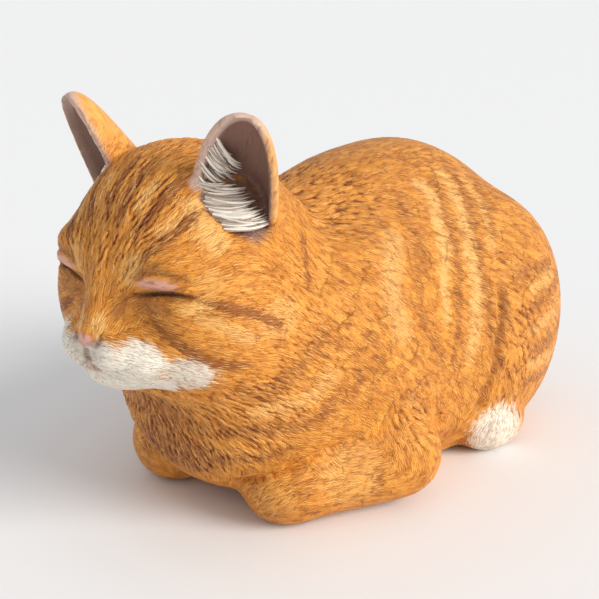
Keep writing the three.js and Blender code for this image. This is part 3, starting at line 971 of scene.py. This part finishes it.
# A triangle is kept as four corners too, with its last corner twice.
corners = np.array([([v.index for v in face.verts] + [face.verts[-1].index])[:4] for face in skin.faces])
skin.free()
cast_points, cast_of = [], []
for k, name in enumerate(casts):
    here = np.array([v.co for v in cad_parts[name].data.vertices])
    cast_points.append(here)
    cast_of.append(np.full(len(here), k))
cast_points, cast_of = np.vstack(cast_points), np.concatenate(cast_of)
owner = cast_of[nearest(cast_points, points, 1)[0][:, 0]]
rounds_of_votes, own_vote = 12, 1.5
for _ in range(rounds_of_votes):
    votes = np.zeros((len(points), len(casts)))
    for a, b in ((0, 1), (1, 0)):
        np.add.at(votes, edges[:, a], np.eye(len(casts))[owner[edges[:, b]]])
    votes[np.arange(len(points)), owner] += own_vote
    owner = np.argmax(votes, axis=1)
piece_of = np.array([np.bincount(row, minlength=len(casts)).argmax() for row in owner[corners]])
torso_cut = -20 * mm
torso_rear = len(casts)
behind_cut = points[corners].mean(axis=1)[:, 1] > torso_cut
piece_of[(piece_of == casts.index("torso_shell")) & behind_cut] = torso_rear

# Crumbs cut off from the rest of their piece go to the piece that surrounds them.
for _ in range(4):
    crumbs = np.zeros(len(corners), bool)
    for piece in range(len(casts) + 1):
        mine = np.nonzero(piece_of == piece)[0]
        links = np.vstack([corners[mine][:, (k, (k + 1) % 4)] for k in range(4)])
        patch = np.arange(len(points))
        while True:
            lower = patch.copy()
            np.minimum.at(lower, links[:, 0], patch[links[:, 1]])
            np.minimum.at(lower, links[:, 1], patch[links[:, 0]])
            lower = lower[lower]
            if np.array_equal(lower, patch):
                break
            patch = lower
        patch = patch[corners[mine, 0]]
        crumbs[mine[patch != np.bincount(patch).argmax()]] = True
    around = np.zeros((len(points), len(casts) + 1))
    np.add.at(around, (corners[~crumbs].ravel(), np.repeat(piece_of[~crumbs], 4)), 1)
    for face in np.nonzero(crumbs)[0]:
        nearby = around[corners[face]].sum(axis=0)
        nearby[piece_of[face]] = 0
        if nearby.any():
            piece_of[face] = nearby.argmax()

values_of = {
    "relief": relief,
    "tone": tone,
    "furry": furry,
    "rust_and_chest_shade": rust_and_chest_shade,
    "pale": pale,
    "cream": cream,
    "pink": pink,
    "umber": umber,
    "painted_shade": painted_shade,
    "mauve": mauve,
    "rim": rim,
    "deep": deep,
    "lean": lean,
    "brush_0": brush[0],
    "brush_1": brush[1],
}


def glazed_piece(name, piece, stands_for):
    used, corner = np.unique(corners[piece_of == piece], return_inverse=True)
    faces = [row[: 3 if row[2] == row[3] else 4] for row in corner.reshape(-1, 4).tolist()]
    mesh = bpy.data.meshes.new(name)
    mesh.from_pydata(points[used].tolist(), [], faces)
    for label, values in values_of.items():
        if values.ndim == 2:
            layer = mesh.attributes.new(label, "FLOAT_VECTOR", "POINT")
            layer.data.foreach_set("vector", values[used].astype(np.float32).ravel())
        else:
            layer = mesh.attributes.new(label, "FLOAT", "POINT")
            layer.data.foreach_set("value", values[used].astype(np.float32))
    mesh.materials.append(ceramic)
    mesh.polygons.foreach_set("use_smooth", np.ones(len(mesh.polygons), bool))
    mesh.normals_split_custom_set_from_vertices(normals[used].tolist())
    glazed = put_in(name, mesh)
    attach(glazed, "root")
    if stands_for:
        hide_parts(stands_for)


for piece, name in enumerate(casts):
    glazed_piece("torso_front_glazed" if name == "torso_shell" else name + "_glazed", piece, name)
glazed_piece("torso_rear_glazed", torso_rear, None)

# ------------------------------------------------------------------ hair in the ears
# Combed strands of slip trailed from the inner edge of each ear across its cup, silver cream, 14 to 23 mm
# long, laid one over another so that their tips stand free over the dark hollow.
hair_length = 19 * mm
hair_width = 0.75 * mm
hairs_per_ear = 220


def ear_hair_material():
    material, tree, shader = new_material("silver hair")
    place = add_node(tree, "ShaderNodeTexCoord").outputs["Object"]
    patch = add_node(tree, "ShaderNodeTexNoise", {"Vector": place, "Scale": 1500})
    fleck = work(tree, "MULTIPLY_ADD", patch.outputs["Fac"], 0.3, attribute(tree, "shade"))
    shade = mixed(tree, spread(tree, fleck, 0.15, 0.9), (0.33, 0.24, 0.18, 1), (0.88, 0.82, 0.73, 1))
    feed(tree, shader, {"Base Color": shade, "Roughness": 0.4})
    return material


def strand_tree(material):
    """Geometry nodes: a curved, tapered strand on every point, combed along its own direction."""
    inputs = {"Geometry": "Geometry", "Length": "Float", "Width": "Float"}
    tree = new_group("ear hair", "GeometryNodeTree", inputs, {"Geometry": "Geometry"})
    given = add_node(tree, "NodeGroupInput").outputs

    bends = {"Resolution": 7}
    for name, ahead, upward in (("Start", -0.1, -0.08), ("Middle", 0.5, 0.26), ("End", 1.0, -0.06)):
        x, z = (work(tree, "MULTIPLY", given["Length"], share) for share in (ahead, upward))
        bends[name] = add_node(tree, "ShaderNodeCombineXYZ", {0: x, 2: z}).outputs[0]
    strand = add_node(tree, "GeometryNodeCurveQuadraticBezier", bends)

    def turned(label, inputs, **axes):
        """A rotation that points one axis of the strand along the way kept under that label."""
        named = add_node(
            tree, "GeometryNodeInputNamedAttribute", {"Name": label}, data_type="FLOAT_VECTOR"
        )
        inputs["Vector"] = named.outputs["Attribute"]
        return add_node(tree, "FunctionNodeAlignRotationToVector", inputs, **axes).outputs[0]

    combed_over = turned("comb", {}, axis="X")
    upright = turned("stand", {"Rotation": combed_over}, axis="Z", pivot_axis="X")
    size = add_node(tree, "FunctionNodeRandomValue", {2: 0.65, 3: 1.1, "Seed": 5}, data_type="FLOAT")
    inputs = {
        "Points": given["Geometry"],
        "Instance": strand.outputs[0],
        "Rotation": upright,
        "Scale": size.outputs[1],
    }
    rooted = add_node(tree, "GeometryNodeInstanceOnPoints", inputs)
    whole = add_node(tree, "GeometryNodeRealizeInstances", {0: rooted.outputs[0]})
    along = add_node(tree, "GeometryNodeSplineParameter").outputs["Factor"]
    slim = work(tree, "MULTIPLY_ADD", work(tree, "POWER", along, 3.0), -0.9, 1.0)
    slim = work(tree, "MULTIPLY", slim, work(tree, "MULTIPLY_ADD", along, 0.6, 0.6))
    inputs = {"Resolution": 6, "Radius": given["Width"]}
    section = add_node(tree, "GeometryNodeCurvePrimitiveCircle", inputs)
    inputs = {
        "Curve": whole.outputs[0],
        "Profile Curve": section.outputs[0],
        "Fill Caps": True,
        "Scale": slim,
    }
    round_off = add_node(tree, "GeometryNodeCurveToMesh", inputs)
    inputs = {"Material": material, "Geometry": round_off.outputs[0]}
    finish = add_node(tree, "GeometryNodeSetMaterial", inputs)
    add_node(tree, "NodeGroupOutput", {"Geometry": finish.outputs[0]})
    return tree


silver = ear_hair_material()
hair_tree = strand_tree(silver)
hair_chance = np.random.default_rng(23)
for name, side in (("left_ear_hair", np.ones(3)), ("right_ear_hair", left_right)):
    roots, combs, stands = [], [], []
    for k in range(hairs_per_ear):
        share_down = hair_chance.random()
        if k % 2:
            root = in_ear(hair_chance.uniform(-0.98, -0.7), 0.15 + 0.6 * share_down, 0.6)
            tip = in_ear(0.1 + hair_chance.normal(0, 0.12), 0.6 * share_down - 0.2, 2.0)
        else:
            root = np.array((27, -135, 178)) * (1 - share_down) + np.array((46, -133, 159)) * share_down
            root = root + np.array((-1.0, -1.5, 0)) * math.sin(math.pi * share_down)
            root = root + hair_chance.normal(0, 0.7, 3)
            tip = np.array((46, -120, 176)) * (1 - share_down) + np.array((53, -122, 160)) * share_down
        comb = tip - root
        roots.append(root * side * mm)
        combs.append(comb / np.linalg.norm(comb) * side)
        stands.append(ear_open * side)
    root_mesh = bpy.data.meshes.new(name)
    root_mesh.from_pydata(roots, [], [])
    for attribute_name, values in (("comb", combs), ("stand", stands)):
        layer = root_mesh.attributes.new(attribute_name, "FLOAT_VECTOR", "POINT")
        layer.data.foreach_set("vector", np.array(values, np.float32).ravel())
    layer = root_mesh.attributes.new("shade", "FLOAT", "POINT")
    layer.data.foreach_set("value", hair_chance.random(len(roots)).astype(np.float32))
    holder = put_in(name + "_roots", root_mesh)
    growing = holder.modifiers.new("ear hair", "NODES")
    growing.node_group = hair_tree
    for item in hair_tree.interface.items_tree:
        if item.in_out == "INPUT" and item.name in ("Length", "Width"):
            growing[item.identifier] = {"Length": hair_length, "Width": hair_width}[item.name]
    bpy.context.view_layer.update()
    depsgraph = bpy.context.evaluated_depsgraph_get()
    hair_mesh = bpy.data.meshes.new_from_object(holder.evaluated_get(depsgraph))
    bpy.data.objects.remove(holder)
    hair_mesh.polygons.foreach_set("use_smooth", np.ones(len(hair_mesh.polygons), bool))
    hair = put_in(name, hair_mesh)
    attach(hair, "root")

# ------------------------------------------------------------------ felt base
# A 1 mm sheet of dark green-grey felt is glued under the torso over the pour hole, so the glaze never
# touches the shelf. It stays the plain cut sheet, with a matted fibre finish.


def felt():
    material, tree, shader = new_material("felt")
    place = add_node(tree, "ShaderNodeTexCoord").outputs["Object"]
    inputs = {"Vector": place, "Scale": 900, "Detail": 4}
    fibres = add_node(tree, "ShaderNodeTexNoise", inputs, noise_type="RIDGED_MULTIFRACTAL").outputs["Fac"]
    lumps = add_node(tree, "ShaderNodeTexNoise", {"Vector": place, "Scale": 90}).outputs["Fac"]
    matted = work(tree, "MULTIPLY_ADD", lumps, 0.5, work(tree, "MULTIPLY", fibres, 0.3))
    felt_colour = mixed(tree, matted, (0.030, 0.034, 0.028, 1), (0.085, 0.092, 0.075, 1))
    bump = add_node(tree, "ShaderNodeBump", {"Distance": 0.0003, "Height": fibres})
    feed(tree, shader, {"Base Color": felt_colour, "Normal": bump.outputs[0]})
    feed(tree, shader, {"Roughness": 0.95, "Sheen Weight": 0.3})
    return material


felt_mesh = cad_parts["felt_base"].data
felt_mesh.materials.clear()
felt_mesh.materials.append(felt())

# ------------------------------------------------------------------ floor, light and camera
# A pale table under soft daylight from the upper right, seen from the cat's front left and a little above,
# with a plain bright room all round.
table, table_tree, table_shader = new_material("pale table")
feed(table_tree, table_shader, {"Base Color": (0.91, 0.925, 0.94, 1), "Roughness": 0.8})
floor_mesh = bpy.data.meshes.new("floor")
floor_mesh.from_pydata([(-12, -12, 0), (12, -12, 0), (12, 12, 0), (-12, 12, 0)], [], [(0, 1, 2, 3)])
floor_mesh.materials.append(table)
put_in("floor", floor_mesh)

world = bpy.data.worlds.new("room")
bpy.context.scene.world = world
world.use_nodes = True
room_light = world.node_tree.nodes["Background"]
feed(world.node_tree, room_light, {"Color": (0.98, 0.985, 1.0, 1), "Strength": 0.6})

daylight = bpy.data.lights.new("daylight", "SUN")
daylight.energy = 2.9
daylight.angle = math.radians(35)
daylight.color = (1.0, 0.965, 0.91)
window = put_in("daylight", daylight)
window.rotation_euler = Vector((0.87, 0.20, 0.42)).to_track_quat("Z", "Y").to_euler()

camera_data = bpy.data.cameras.new("camera")
camera_data.angle = math.radians(30)
camera = put_in("camera", camera_data)
aim = Vector((2.4, -33.05, 93.7)) * mm
turn, rise, away = math.radians(39), math.radians(18), 600 * mm
outward = Vector((math.sin(turn) * math.cos(rise), -math.cos(turn) * math.cos(rise), math.sin(rise)))
camera.location = aim + away * outward
camera.rotation_euler = (aim - camera.location).to_track_quat("-Z", "Y").to_euler()
bpy.context.scene.camera = camera
bpy.context.scene.view_settings.view_transform = "Standard"
